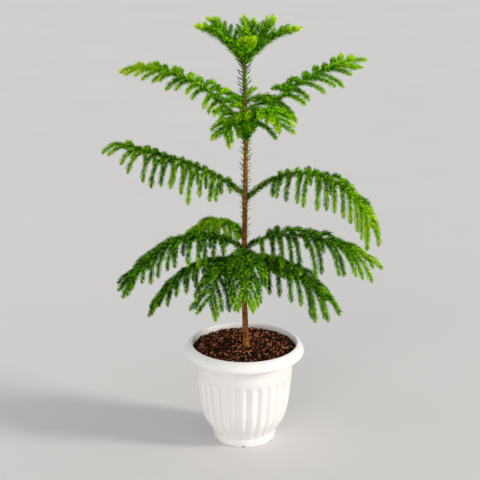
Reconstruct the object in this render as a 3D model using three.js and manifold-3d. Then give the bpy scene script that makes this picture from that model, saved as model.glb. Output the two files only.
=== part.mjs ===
// A young araucaria in a white plastic pot, in millimetres with +Z up. The origin is the middle of the
// pot's underside. Azimuth 0 points to the right of the front view (+X), and 90 points to the back (+Y).
import * as THREE from "three";
import { mergeVertices } from "three/addons/utils/BufferGeometryUtils.js";
import Module from "manifold-3d";

const wasm = await Module();
wasm.setup();

// Clearance between neighbouring pieces, the distance at which points are one, and the widest sliver that
// is smoothed away where twigs are fused.
const CLEAR = 0.3;
const MERGE = 1e-3;
const SLIVER = 0.12;

// Pot: a fluted body on a plain foot, under a rim that rolls outwards. Outlines are pairs of height, radius.
const POT_HEIGHT = 171;
const RIM_RADIUS = 100;
const RIM_LIP_HEIGHT = 17.5;
const WALL = 2;
const FOOT_RADIUS = 52;
const FOOT_HEIGHT = 13;
const FLUTES = 28;
const FLUTE_DEPTH = 3;
const FLUTE_TOP = 116;
const FLUTE_PHASE = THREE.MathUtils.degToRad(-86.3);
const BODY_BULGE = [[17, 55], [40, 68.5], [62, 74.2], [92, 77.8], [FLUTE_TOP, 80]];
const COLLAR = [POT_HEIGHT - RIM_LIP_HEIGHT - 1, 82.5];
const INSIDE = [
  [WALL + 1, FOOT_RADIUS - WALL - 0.5],
  [FOOT_HEIGHT + WALL, FOOT_RADIUS - WALL],
  [42, 63.5],
  [62, 68],
  [149, 79.5],
  [157, 84.5],
  [POT_HEIGHT - 1.5, RIM_RADIUS - 13.5],
];

// Soil: a heap of crumbs just under the rim, with a level place for the trunk.
const SOIL_LEVEL = 162;
const SOIL_SIDES = 36;
const SOIL_RINGS = [0.16, 0.5, 0.8];
const SOIL_RELIEF = 2.2;
const SOIL_GAP = 0.5;

// Trunk: where its middle stands at each height, and how thick it is there.
const TRUNK_LINE = [
  { z: 162, x: 3.2, y: -4, radius: 4.9 },
  { z: 230, x: 0.5, y: -2, radius: 4.6 },
  { z: 303, x: -0.5, y: -2, radius: 4.4 },
  { z: 425, x: 0.9, y: -2, radius: 3.9 },
  { z: 519, x: 2.0, y: -2, radius: 3.3 },
  { z: 645, x: -0.8, y: -2, radius: 2.6 },
  { z: 684, x: 1.6, y: -2, radius: 1.7 },
];
const TRUNK_SIDES = 8;
const TRUNK_STEP = 21;
const ROOT_FLARE = 1.4;
const ROOT_FLARE_HEIGHT = 9;
const WHORL_SWELL = 0.9;
const WHORL_SWELL_HEIGHT = 7;

// Boughs and foliage, tier by tier from the ground. A bough leaves the trunk at rise[0] degrees and ends at
// rise[1]; bend is the power by which it gets there. After its bare share, twigs stand in two rows along it,
// swept towards its tip, lifted a little and then hanging, or rising where hang is below zero; roll tips the
// two rows to one side. The first twigs have their share of the length. Near the bough's tip, twigs shrink
// and hang by their tip shares, and tipLift is added to their lift. A bough takes its tier's values, or the
// usual ones, where it has none of its own. It bears two masses of foliage unless masses says one.
const BOUGH_POINTS = 40;
const BOUGH_SIDES = 6;
const STEM_RADIUS = 1.5;
const STEM_NEEDLE = 5;
const STEM_ROW = 17;
const TWIG_POINTS = 8;
const HANG_POWER = 0.65;
const TWIG_CORE = 1.1;
const TWIG_ROW = 14;
const NEEDLE_PUSH = 0.5;
const NEEDLE_TAPER = 0.35;
const FULL_TWIG_AFTER = 0.25;
const TIP_FROM = 0.6;
const SWEEP_FROM = 0.35;
const LAST_TWIG = 0.95;
const ROW_STAGGER = 0.3;
const ROW_JITTER = 0.2;
const YOUNG_TIER = 3;
const USUAL_BOUGH = { above: 0, roll: 0, tipLift: 0, masses: 2, firstTwig: 0.62 };
const TIERS = [
  {
    height: 303, thick: 2.3, bare: 0.14, twig: 59, sweep: [68, 38], lift: 22, hang: 0.9, tipTwig: 0.5,
    tipHang: 0.3, pitch: 30, needle: 6.2,
    boughs: [
      { name: "left", azimuth: 199, length: 186, rise: [52, -64], bend: 0.66, above: 1, roll: 16 },
      {
        name: "front_left", azimuth: 243, length: 153, rise: [46, -78], bend: 1.2, above: -5, twig: 66,
        hang: 0.84,
      },
      {
        name: "right", azimuth: 346, length: 158, rise: [58, -55], bend: 0.52, above: -2, twig: 79,
        tipTwig: 0.66, tipHang: 0.7, roll: 9,
      },
      {
        name: "back_right", azimuth: 59, length: 160, rise: [28, -47], bend: 0.54, above: 2, masses: 1,
        pitch: 44,
      },
      {
        name: "back", azimuth: 107, length: 168, rise: [30, -50], bend: 0.52, above: -3, masses: 1,
        pitch: 44,
      },
    ],
  },
  {
    height: 341, thick: 2.4, bare: 0.15, twig: 62, sweep: [70, 40], lift: 24, hang: 0.94, tipTwig: 0.5,
    tipHang: 0.4, pitch: 30, needle: 6.2,
    boughs: [
      {
        name: "left", azimuth: 197, length: 233, rise: [50, -60], bend: 0.8, above: -7, roll: 2,
        twig: 67, tipTwig: 0.6,
      },
      {
        name: "back_left", azimuth: 123, length: 165, rise: [74, -42], bend: 0.38, above: 10, roll: 20,
        bare: 0.2,
      },
      {
        name: "right", azimuth: 353, length: 207, rise: [62, -31], bend: 0.47, above: -6, twig: 78,
        hang: 0.86, tipTwig: 0.8, tipHang: 0.66, roll: 14,
      },
      {
        name: "front", azimuth: 271, length: 154, rise: [21, -60], bend: 1.1, above: -7,
        sweep: [70, 30], tipTwig: 0.44,
      },
    ],
  },
  {
    height: 425, thick: 2.4, bare: 0.15, twig: 67, sweep: [76, 40], lift: 22, hang: 0.93,
    tipTwig: 0.55, tipHang: 0.5, pitch: 30, needle: 6.2,
    boughs: [
      {
        name: "left", azimuth: 164, length: 226, rise: [52, 5], bend: 0.38, above: 2, lift: 13,
        roll: 6, tipLift: 16, twig: 72, sweep: [76, 50], tipTwig: 0.72, tipHang: 0.6,
      },
      {
        name: "right", azimuth: 345, length: 269, rise: [52, -82], bend: 1.16, above: -6, roll: 7,
        bare: 0.24, sweep: [88, 68], tipTwig: 0.85, tipHang: 1,
      },
    ],
  },
  {
    height: 519, thick: 2.2, bare: 0.12, twig: 50, sweep: [48, 42], lift: 24, hang: 0.4,
    firstTwig: 0.9, tipTwig: 0.6, tipHang: 0.4, pitch: 30, needle: 6.4,
    boughs: [
      {
        name: "left", azimuth: 155, length: 242, rise: [74, -6], bend: 0.7, above: 1, twig: 43,
        sweep: [80, 46], lift: 20, roll: -4, tipLift: 8, hang: 0.52, tipTwig: 0.9, tipHang: 0.9,
      },
      {
        name: "right", azimuth: 32, length: 246, rise: [61, 4], bend: 0.68, above: 2, twig: 63,
        sweep: [80, 42], lift: 10, roll: -3, hang: 0.48,
      },
      {
        name: "front_right", azimuth: 308, length: 132, rise: [79, -59], bend: 1.6, above: -6,
        bare: 0.24, twig: 46, hang: 0.55, masses: 1,
      },
      {
        name: "front_left", azimuth: 238, length: 96, rise: [80, -79], bend: 1.45, above: -2,
        bare: 0.24, twig: 42, hang: 0.65, masses: 1,
      },
      {
        name: "back", azimuth: 97, length: 104, rise: [72, 0], bend: 0.7, above: 6, bare: 0.24,
        twig: 60, sweep: [70, 44], masses: 1,
      },
    ],
  },
  {
    height: 645, thick: 1.6, bare: 0.14, twig: 21, sweep: [56, 30], lift: 21, hang: -0.22,
    tipTwig: 0.55, tipHang: 0.4, masses: 1, pitch: 25, needle: 6,
    boughs: [
      { name: "left", azimuth: 184, length: 97, rise: [52, 7], bend: 2.4 },
      { name: "back_left", azimuth: 137, length: 95, rise: [48, 17], bend: 1.65, above: 6 },
      { name: "back", azimuth: 81, length: 77, rise: [48, 60], bend: 1, twig: 26, sweep: [66, 36] },
      { name: "back_right", azimuth: 45, length: 90, rise: [49, 27], bend: 1.4, above: 6 },
      { name: "right", azimuth: 355, length: 106, rise: [48, -1], bend: 2.2 },
      { name: "front", azimuth: 281, length: 60, rise: [56, 34], bend: 0.65, above: 6 },
    ],
  },
];

// Leader: the soft new growth that the trunk ends in.
const LEADER_LENGTH = 25;
const LEADER_TWIGS = 5;
const LEADER_TWIG = 9;
const LEADER_SWEEP = 40;

const material = (color, roughness) => new THREE.MeshStandardMaterial({ color, roughness, metalness: 0 });
const WHITE_PLASTIC = material(0xe9e6e1, 0.4);
const RED_SOIL = material(0x4f3226, 0.95);
const BARK = material(0x6f4a2e, 0.85);
const GREEN_BARK = material(0x66693a, 0.8);
const NEEDLES = material(0x5c8433, 0.65);
const YOUNG_NEEDLES = material(0x8fb440, 0.6);

// Steady noise from 0 to 1 for a pair of counters.
function jitter(i, j) {
  const wave = Math.sin(i * 12.9898 + j * 78.233) * 43758.5453;
  return wave - Math.floor(wave);
}

// Closed geometry with shared vertices and no collapsed faces.
function closed(geometry) {
  geometry.deleteAttribute("normal");
  geometry.deleteAttribute("uv");
  const merged = mergeVertices(geometry, MERGE);
  const index = merged.getIndex().array;
  const kept = [];
  for (let i = 0; i < index.length; i += 3) {
    const [a, b, c] = [index[i], index[i + 1], index[i + 2]];
    if (a !== b && b !== c && c !== a) kept.push(a, b, c);
  }
  merged.setIndex(kept);
  return merged;
}

function toSolid(geometry) {
  const merged = closed(geometry);
  const vertProperties = new Float32Array(merged.attributes.position.array);
  const triVerts = new Uint32Array(merged.getIndex().array);
  return new wasm.Manifold(new wasm.Mesh({ numProp: 3, vertProperties, triVerts }));
}

function toGeometry(solid) {
  const { vertProperties, triVerts } = solid.getMesh();
  const geometry = new THREE.BufferGeometry();
  geometry.setAttribute("position", new THREE.BufferAttribute(new Float32Array(vertProperties), 3));
  geometry.setIndex(new THREE.BufferAttribute(new Uint32Array(triVerts), 1));
  return geometry;
}

// The largest body of a solid: a loose scrap is dropped and a sealed hollow is filled.
function largestBody(solid) {
  const bodies = solid.decompose();
  return bodies.reduce((best, body) => (body.volume() > best.volume() ? body : best));
}

// Twigs fused to their stem, without the slivers that the joins leave.
function fuse(stem, sprays) {
  return largestBody(wasm.Manifold.union([stem, ...sprays]).simplify(SLIVER));
}

// A cylinder bent along a line of points. sectionAt(ring, side) gives each corner's distance from the line
// and how many rings it is pushed on along it. Level sections stay horizontal, and others follow the line.
function bentCylinder(points, sides, rings, sectionAt, level = false) {
  const curve = new THREE.CatmullRomCurve3(points);
  const frames = curve.computeFrenetFrames(rings, false);
  const geometry = new THREE.CylinderGeometry(1, 1, 1, sides, rings);
  const position = geometry.attributes.position;
  const ringLength = curve.getLength() / rings;
  const vertex = new THREE.Vector3();
  for (let i = 0; i < position.count; i += 1) {
    vertex.fromBufferAttribute(position, i);
    const along = vertex.y + 0.5;
    const ring = Math.round(along * rings);
    const side = (Math.round((Math.atan2(vertex.x, vertex.z) / (2 * Math.PI)) * sides) + sides) % sides;
    const { radius, push = 0 } = sectionAt(ring, side);
    const across = level ? new THREE.Vector3(1, 0, 0) : frames.normals[ring];
    const beside = level ? new THREE.Vector3(0, -1, 0) : frames.binormals[ring].clone().negate();
    const corner = curve.getPointAt(along);
    corner.addScaledVector(across, vertex.x * radius);
    corner.addScaledVector(beside, vertex.z * radius);
    const isOutside = Math.hypot(vertex.x, vertex.z) > 0.5;
    if (isOutside) corner.addScaledVector(frames.tangents[ring], push * ringLength);
    position.setXYZ(i, corner.x, corner.y, corner.z);
  }
  return toSolid(geometry);
}

// A slim core of four sides whose opposite corners reach out as needles, turned a quarter at every ring.
function toothedCore(points, core, needle, rings, endCore) {
  return bentCylinder(points, 4, rings, (ring, side) => {
    if (ring === 0) return { radius: core };
    if (ring === rings) return { radius: endCore };
    if ((ring + side) % 2) return { radius: core };
    const taper = 1 - NEEDLE_TAPER * (ring / rings) ** 2;
    return { radius: needle * taper, push: NEEDLE_PUSH };
  });
}

// Trunk
function trunkAt(z) {
  const upper = TRUNK_LINE.findIndex((point) => point.z >= z);
  const above = TRUNK_LINE[Math.max(1, upper)];
  const below = TRUNK_LINE[Math.max(1, upper) - 1];
  const share = (z - below.z) / (above.z - below.z);
  const mix = (key) => THREE.MathUtils.lerp(below[key], above[key], share);
  return { centre: new THREE.Vector3(mix("x"), mix("y"), z), radius: mix("radius") };
}

function trunkRadius(z) {
  const flare = ROOT_FLARE * Math.exp(-(z - SOIL_LEVEL) / ROOT_FLARE_HEIGHT);
  const swells = TIERS.map(({ height, thick }) => {
    const distance = (z - height) / WHORL_SWELL_HEIGHT;
    return WHORL_SWELL * (thick / TIERS[0].thick) * Math.exp(-distance * distance);
  });
  return trunkAt(z).radius + flare + swells.reduce((sum, swell) => sum + swell, 0);
}

// The trunk, or the trunk with a skin of clearance round it.
function trunkSolid(skin = 0) {
  const foot = SOIL_LEVEL + CLEAR;
  const tip = TRUNK_LINE[TRUNK_LINE.length - 1].z;
  const rings = Math.round((tip - foot) / TRUNK_STEP);
  const heightAt = (ring) => THREE.MathUtils.lerp(foot, tip, ring / rings);
  const points = Array.from({ length: rings + 1 }, (_, ring) => trunkAt(heightAt(ring)).centre);
  const section = (ring) => ({ radius: trunkRadius(heightAt(ring)) + skin });
  return bentCylinder(points, TRUNK_SIDES, rings, section, true);
}

// Boughs
function boughLine(limb) {
  const point = trunkAt(limb.height + limb.above).centre;
  const azimuth = THREE.MathUtils.degToRad(limb.azimuth);
  const line = [point.clone()];
  for (let i = 0; i < BOUGH_POINTS; i += 1) {
    const along = (i + 0.5) / BOUGH_POINTS;
    const degrees = limb.rise[0] + (limb.rise[1] - limb.rise[0]) * along ** limb.bend;
    const rise = THREE.MathUtils.degToRad(degrees);
    const step = limb.length / BOUGH_POINTS;
    point.x += step * Math.cos(rise) * Math.cos(azimuth);
    point.y += step * Math.cos(rise) * Math.sin(azimuth);
    point.z += step * Math.sin(rise);
    line.push(point.clone());
  }
  return new THREE.CatmullRomCurve3(line);
}

// Evenly spaced points of a curve between two shares of its length.
function stretch(curve, from, to, count) {
  return Array.from({ length: count + 1 }, (_, i) => curve.getPointAt(from + ((to - from) * i) / count));
}

function boughSolid(limb, curve, trunkSkin) {
  const rings = Math.max(3, Math.round((limb.length * limb.bare) / STEM_ROW));
  const points = stretch(curve, 0, limb.bare, rings);
  const section = (ring) => ({ radius: THREE.MathUtils.lerp(limb.thick, STEM_RADIUS, ring / rings) });
  return largestBody(bentCylinder(points, BOUGH_SIDES, rings, section).subtract(trunkSkin));
}

// Foliage
function twigLine(limb, curve, along, side) {
  const { degToRad, lerp, smoothstep } = THREE.MathUtils;
  const azimuth = degToRad(limb.azimuth);
  const tangent = curve.getTangentAt(along);
  const level = new THREE.Vector3(-Math.sin(azimuth), Math.cos(azimuth), 0).multiplyScalar(side);
  const up = new THREE.Vector3().crossVectors(tangent, level).multiplyScalar(side);
  const sweep = degToRad(lerp(limb.sweep[0], limb.sweep[1], smoothstep(along, SWEEP_FROM, 1)));
  const nearTip = smoothstep(along, TIP_FROM, 1);
  const lift = degToRad(limb.lift + limb.roll * side + limb.tipLift * nearTip);
  const hang = limb.hang * lerp(1, limb.tipHang, nearTip);
  const first = tangent.multiplyScalar(Math.cos(sweep));
  first.addScaledVector(level, Math.sin(sweep) * Math.cos(lift));
  first.addScaledVector(up, Math.sin(sweep) * Math.sin(lift));
  const fall = new THREE.Vector3(0, 0, -Math.sign(hang));
  const grown = lerp(limb.firstTwig, 1, smoothstep(along, limb.bare, limb.bare + FULL_TWIG_AFTER));
  const length = limb.twig * grown * lerp(1, limb.tipTwig, nearTip);
  const point = curve.getPointAt(along);
  const line = [point.clone()];
  for (let i = 0; i < TWIG_POINTS; i += 1) {
    const pull = Math.abs(hang) * ((i + 0.5) / TWIG_POINTS) ** HANG_POWER;
    const direction = first.clone().multiplyScalar(1 - pull).addScaledVector(fall, pull).normalize();
    point.addScaledVector(direction, length / TWIG_POINTS);
    line.push(point.clone());
  }
  return { line, length };
}

function twigSpray(line, length, needle) {
  const rings = Math.max(3, Math.round(length / TWIG_ROW));
  return toothedCore(line, TWIG_CORE, needle, rings, TWIG_CORE / 2);
}

// True where a twig keeps clear of every other piece.
function standsClear(spray, others) {
  const box = spray.boundingBox();
  return others.every((other) => {
    const its = other.boundingBox();
    const apart = [0, 1, 2].some((k) => box.min[k] > its.max[k] + CLEAR || its.min[k] > box.max[k] + CLEAR);
    return apart || spray.minGap(other, 2 * CLEAR) > CLEAR;
  });
}

function stemSolid(curve, from, to, isTip) {
  const length = curve.getLength() * (to - from);
  const rings = Math.max(4, 2 * Math.round(length / STEM_ROW / 2));
  const points = stretch(curve, from, to, rings);
  return toothedCore(points, STEM_RADIUS, STEM_NEEDLE, rings, isTip ? TWIG_CORE / 2 : STEM_RADIUS);
}

// The twigs of one mass: two rows in step along its stretch of the bough, clear of all that stands already.
function twigSprays({ limb, curve, from, to }, others) {
  const rows = Math.max(2, Math.round((limb.length * (to - from)) / limb.pitch));
  const sprays = [];
  for (let i = 0; i < rows; i += 1) {
    for (const side of [1, -1]) {
      const offset = 0.5 + ROW_STAGGER * side + ROW_JITTER * (jitter(i, limb.azimuth + side) - 0.5);
      const along = from + ((Math.min(to, LAST_TWIG) - from) * (i + offset)) / rows;
      const { line, length } = twigLine(limb, curve, along, side);
      const spray = twigSpray(line, length, limb.needle);
      if (standsClear(spray, others)) sprays.push(spray);
    }
  }
  return sprays;
}

function leaderMass(others) {
  const tip = TRUNK_LINE[TRUNK_LINE.length - 1];
  const foot = new THREE.Vector3(tip.x, tip.y, tip.z + CLEAR);
  const stemAt = (share) => foot.clone().add(new THREE.Vector3(0, 0, LEADER_LENGTH * share));
  const stem = toothedCore([0, 0.5, 1].map(stemAt), STEM_RADIUS, STEM_NEEDLE, 4, TWIG_CORE / 2);
  const sweep = THREE.MathUtils.degToRad(LEADER_SWEEP);
  const sprays = [];
  for (let i = 0; i < LEADER_TWIGS; i += 1) {
    const turn = (2 * Math.PI * i) / LEADER_TWIGS + 0.5 * jitter(i, LEADER_TWIGS);
    const root = stemAt(0.25 + (0.35 * i) / LEADER_TWIGS);
    const out = new THREE.Vector3().setFromCylindricalCoords(Math.sin(sweep), turn, 0);
    out.set(out.x, out.z, Math.cos(sweep));
    const line = [0, 0.5, 1].map((share) => root.clone().addScaledVector(out, LEADER_TWIG * share));
    const spray = twigSpray(line, LEADER_TWIG, STEM_NEEDLE);
    if (standsClear(spray, others)) sprays.push(spray);
  }
  return fuse(stem, sprays);
}

// Pot
function potSolid() {
  const [collarHeight, collarRadius] = COLLAR;
  const lip = POT_HEIGHT - RIM_LIP_HEIGHT;
  const profile = [
    [0, 0],
    [FOOT_RADIUS, 0],
    [FOOT_RADIUS + 1.8, FOOT_HEIGHT],
    ...BODY_BULGE.map(([z, radius]) => [radius, z]),
    [collarRadius, collarHeight],
    [RIM_RADIUS - 0.7, lip],
    [RIM_RADIUS, lip + 4],
    [RIM_RADIUS - 4, POT_HEIGHT - 5],
    [RIM_RADIUS - 9, POT_HEIGHT],
    ...INSIDE.toReversed().map(([z, radius]) => [radius, z]),
    [0, INSIDE[0][0]],
  ];
  const points = profile.map(([radius, z]) => new THREE.Vector2(radius, z));
  const geometry = new THREE.LatheGeometry(points, FLUTES * 3, -FLUTE_PHASE - Math.PI / 2);
  geometry.rotateX(Math.PI / 2);
  fluteOutside(geometry);
  return toSolid(geometry);
}

// Press a V-shaped groove into the outside of the body, one to each flute, running out at top and foot.
function fluteOutside(geometry) {
  const position = geometry.attributes.position;
  const pitch = (2 * Math.PI) / FLUTES;
  for (let i = 0; i < position.count; i += 1) {
    const [x, y, z] = [position.getX(i), position.getY(i), position.getZ(i)];
    const radius = Math.hypot(x, y);
    const isOnBody = BODY_BULGE.some(([height, outer]) => Math.hypot(z - height, radius - outer) < MERGE);
    if (!isOnBody || z > FLUTE_TOP - MERGE) continue;
    const turns = (Math.atan2(y, x) - FLUTE_PHASE) / pitch;
    const offCentre = Math.abs(turns - Math.round(turns));
    const depth = FLUTE_DEPTH * Math.max(0, 1 - 3 * offCentre);
    position.setX(i, (x * (radius - depth)) / radius);
    position.setY(i, (y * (radius - depth)) / radius);
  }
}

// Soil
function insideRadius(z) {
  const upper = INSIDE.findIndex(([height]) => height >= z);
  const [low, high] = [INSIDE[upper - 1], INSIDE[upper]];
  return THREE.MathUtils.mapLinear(z, low[0], high[0], low[1], high[1]);
}

function soilSolid() {
  const brim = SOIL_LEVEL - SOIL_RELIEF;
  const edge = insideRadius(brim) - SOIL_GAP;
  const below = INSIDE.filter(([z]) => z < brim).map(([z, radius]) => [radius - SOIL_GAP, z]);
  below[0][1] += CLEAR;
  const points = [
    [0, below[0][1]],
    ...below,
    [edge, brim],
    ...SOIL_RINGS.toReversed().map((share) => [edge * share, SOIL_LEVEL]),
    [0, SOIL_LEVEL],
  ].map(([radius, z]) => new THREE.Vector2(radius, z));
  const geometry = new THREE.LatheGeometry(points, SOIL_SIDES);
  geometry.rotateX(Math.PI / 2);
  const position = geometry.attributes.position;
  for (let i = 0; i < position.count; i += 1) {
    const [x, y, z] = [position.getX(i), position.getY(i), position.getZ(i)];
    const radius = Math.hypot(x, y);
    if (z < SOIL_LEVEL - MERGE || radius < edge * SOIL_RINGS[0] + MERGE) continue;
    const bump = jitter(Math.round(x), Math.round(y)) - 0.5;
    position.setZ(i, z + SOIL_RELIEF * bump);
  }
  return toSolid(geometry);
}

// Assembly
const tree = new THREE.Group();
const standing = [];

function place(name, solid, look) {
  const mesh = new THREE.Mesh(toGeometry(solid), look);
  mesh.name = name;
  tree.add(mesh);
  standing.push(solid);
}

place("pot", potSolid(), WHITE_PLASTIC);
place("soil", soilSolid(), RED_SOIL);
place("trunk", trunkSolid(), BARK);

const trunkSkin = trunkSolid(CLEAR);
const growth = [];
TIERS.forEach((tier, tierIndex) => {
  for (const bough of tier.boughs) {
    const limb = { ...USUAL_BOUGH, ...tier, ...bough };
    const label = `${tierIndex + 1}_${limb.name}`;
    const isYoung = tierIndex >= YOUNG_TIER;
    const curve = boughLine(limb);
    place(`bough_${label}`, boughSolid(limb, curve, trunkSkin), isYoung ? GREEN_BARK : BARK);
    for (let mass = 0; mass < limb.masses; mass += 1) {
      const from = limb.bare + ((1 - limb.bare) * mass) / limb.masses + (2 * CLEAR) / limb.length;
      const to = limb.bare + ((1 - limb.bare) * (mass + 1)) / limb.masses;
      const ending = limb.masses === 1 ? "" : ["_inner", "_outer"][mass];
      const stem = stemSolid(curve, from, to, mass === limb.masses - 1);
      const look = isYoung ? YOUNG_NEEDLES : NEEDLES;
      growth.push({ name: `foliage_${label}${ending}`, limb, curve, from, to, stem, look });
    }
  }
});

growth.forEach((mass, order) => {
  const stemsToCome = growth.slice(order + 1).map((other) => other.stem);
  const sprays = twigSprays(mass, [...standing, ...stemsToCome]);
  place(mass.name, fuse(mass.stem, sprays), mass.look);
});
place("foliage_leader", leaderMass(standing), YOUNG_NEEDLES);

export default tree;
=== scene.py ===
"""A young araucaria in a fluted white plastic pot: needles, twigs, bark, plastic and soil as meshes.

The plant grows by the same rule as the part's solids, carried on to finer twigs and single needles. Lengths
are in millimetres and become metres where a mesh is made. Azimuth 0 points to the right of the front view
(+X), and 90 points to the back (+Y).
"""

import bmesh
import bpy
import numpy as np
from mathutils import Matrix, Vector


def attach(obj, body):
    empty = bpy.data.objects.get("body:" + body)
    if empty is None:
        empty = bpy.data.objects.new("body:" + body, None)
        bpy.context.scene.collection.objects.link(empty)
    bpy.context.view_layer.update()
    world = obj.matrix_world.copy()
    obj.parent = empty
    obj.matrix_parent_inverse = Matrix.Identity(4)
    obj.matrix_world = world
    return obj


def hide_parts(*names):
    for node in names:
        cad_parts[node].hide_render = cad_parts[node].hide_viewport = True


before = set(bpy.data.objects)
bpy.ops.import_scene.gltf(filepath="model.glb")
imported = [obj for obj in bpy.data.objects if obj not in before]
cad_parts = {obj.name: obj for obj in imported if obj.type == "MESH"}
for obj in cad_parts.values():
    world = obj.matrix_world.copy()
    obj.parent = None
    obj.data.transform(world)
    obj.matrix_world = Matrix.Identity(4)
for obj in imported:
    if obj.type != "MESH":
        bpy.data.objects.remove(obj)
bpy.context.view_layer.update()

MM = 0.001
SEED = 7
STREAMS = {"soil": 1, "crumbs": 2, "trunk": 3, "boughs": 4, "foliage": 5}
FULL_TURN = 2 * np.pi
GOLDEN_ANGLE = np.radians(137.508)
STEEP_RISE = 0.9

# Camera: where it stands, how many degrees it looks down, its lens on a square picture, and how far it sees.
CAMERA_PLACE = (-7.4, -2409.0, 1148.2)
CAMERA_DOWN = 18.31
CAMERA_LENS = 115.66
SENSOR_WIDTH = 36.0
CAMERA_REACH = 100000

# Pot: its flutes, the notches in the edge of its foot, and its outline, given as pairs of radius and height.
# The outline runs from the middle of the underside up to the rim and down again inside. Steps are those
# between two pairs.
FOOT_RADIUS = 52
FLUTES = 28
FLUTE_COLUMNS = 14
FLUTE_PHASE = np.radians(-86.3)
FLUTE_DEPTH = 2.7
FLUTE_HALF_WIDTH = 0.33
FLUTE_TOP = 117
FLUTE_ARCH = 4.5
FLUTE_FOOT = (14, 23)
FLUTE_END = 2.4
NOTCHES = 6
NOTCH_PHASE = np.radians(-92)
NOTCH_HALF_WIDTH = 2.8
NOTCH_HEIGHT = 2.4
NOTCH_DEPTH = 4
FOOT_STEPS = 2
BODY_STEPS = 6
UPPER_STEPS = 3
POT_FOOT_LINE = [
    (0, 0), (46, 0), (50.6, 0), (51.4, 0.3), (51.8, 1.1), (52.4, 6), (53.2, 10.4), (53.2, 11.4), (52.6, 12),
]
POT_BODY_LINE = [
    (51.8, 12.6), (52.4, 13.6), (54.6, 17), (59.2, 24), (64, 31.5), (68.5, 40), (71.7, 50), (74.2, 62),
    (76.2, 77), (77.8, 92), (79.8, 112), (81, 128), (81.3, 137.6),
]
POT_COLLAR_LINE = [
    (81.4, 138.6), (82.2, 139), (82.5, 139.8), (82.6, 145), (83.4, 145.5), (83.7, 146.4), (83.8, 152.5),
]
POT_SKIRT_LINE = [
    (89.2, 158.4), (90.2, 163.6), (92, 164.4), (94.8, 161.8), (97, 157.6), (97.5, 154.4), (98.2, 153.5),
]
POT_RIM_LINE = [
    (98.9, 153.5), (99.6, 154.2), (100, 156.2), (99.7, 159), (98.4, 162.6), (96.2, 166), (93.4, 169),
    (91, 170.6), (89.4, 171), (88.2, 170.5), (87.6, 169.4),
]
POT_INSIDE_LINE = [
    (87.3, 167), (87, 162), (86.2, 157), (81, 150.5), (79.2, 146), (75.4, 110), (68.6, 62), (63.8, 42),
    (50.4, 15.5), (49.8, 10), (49.5, 3.4), (48.6, 3), (0, 3),
]

# Soil: a bed of clods just under the rim, with loose crumbs on it. Both lie flatter towards its edge. The
# middle of a crumb is between its lowest and its highest place over the soil, given in sizes of the crumb.
SOIL_LEVEL = 163
SOIL_EDGE_LEVEL = 161.6
SOIL_ROUNDING = 3
SOIL_EDGE_POWER = 4
SOIL_RADIUS = 86.6
SOIL_RINGS = 74
SOIL_COLUMNS = 240
SOIL_CLODS = 1100
SOIL_CRUMBS = 4400
SOIL_UNDERSIDE = [(0, 148), (76, 148), (78.4, 149.5), (81.6, 152.4), (85.6, 158)]
SOIL_BED_DEPTH = 1.2
CLOD_RADII = (2.2, 5.5)
CLOD_HEIGHTS = (0.25, 0.62)
CLOD_EDGE_HEIGHT = 0.6
CRUMB_REACH = 0.975
CRUMB_SIZES = (0.65, 2.65)
CRUMB_POWER = 2.4
CRUMB_STRETCH = (0.7, 1.2)
CRUMB_DENTS = 3
DENT_DEPTH = 0.24
DENT_WAVES = 2.2
CRUMB_LOWEST = -0.3
CRUMB_HIGHEST = (0.9, 0.5)

# Trunk: where its middle stands at each height and how thick it is there, its flare at the root, its
# swelling at each whorl, the scars of its needles and the waves of its bark.
TRUNK_HEIGHTS = [162, 230, 303, 425, 519, 645, 684]
TRUNK_X = [3.2, 0.5, -0.5, 0.9, 2.0, -0.8, 1.6]
TRUNK_Y = [-4, -2, -2, -2, -2, -2, -2]
TRUNK_RADII = [4.9, 4.6, 4.4, 3.9, 3.3, 2.6, 1.7]
TRUNK_SUNK = 5
TRUNK_SIDES = 36
TRUNK_STEP = 1.25
ROOT_FLARE = 1.4
ROOT_FLARE_HEIGHT = 9
WHORL_SWELL = 0.9
WHORL_SWELL_HEIGHT = 7
SCAR_SPACING = 3.4
SCAR_RADIUS = 1.0
SCAR_HEIGHT = 0.42
BARK_DEPTH = 0.16
BARK_WAVES = 26
BARK_WAVE_TURNS = 8
BARK_WAVE_LENGTHS = (1.8, 16)

# Boughs and twigs. A bough leaves the trunk at rise[0] degrees and ends at rise[1]; bend is the power by
# which it gets there, and above is how far from its tier's height it starts. After its bare share, twigs
# stand in two rows along it, one every pitch, swept towards its tip, lifted a little and then hanging, or
# rising where hang is below zero. roll lifts one row and lowers the other. first_twig is the first twigs'
# share of the full length, and the values with tip_ change others at the bough's tip. fresh says how much
# of the growth is new and light, and also carries painted shade: it is set low on the lowest left boughs,
# on the side away from the key light, to darken them.
BOUGH_POINTS = 120
BOUGH_SIDES = 10
BOUGH_END_RADIUS = 0.8
STEM_RADIUS = 1.5
COLLAR_SWELL = 0.4
COLLAR_LENGTH = 7
BOUGH_RELIEF = 0.06
TWIG_POINTS = 16
TWIG_SIDES = 5
TWIG_RADIUS = 0.85
TWIG_END_RADIUS = 0.3
HANG_POWER = 0.65
FULL_TWIG_AFTER = 0.25
TIP_FROM = 0.6
SWEEP_FROM = 0.35
LAST_TWIG = 0.96
ROW_STAGGER = 0.25
ROW_JITTER = 0.3
SWEEP_JITTER = 6
LIFT_JITTER = 9
HANG_JITTER = 0.06
LENGTH_JITTER = 0.12
LENGTH_JITTER_SPAN = (-1, 0.5)
YOUNG_TIER = 4
USUAL_BOUGH = {
    "above": 0, "roll": 0, "tip_lift": 0, "masses": 2, "first_twig": 0.62, "tip_fresh": 0.24,
}
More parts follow.
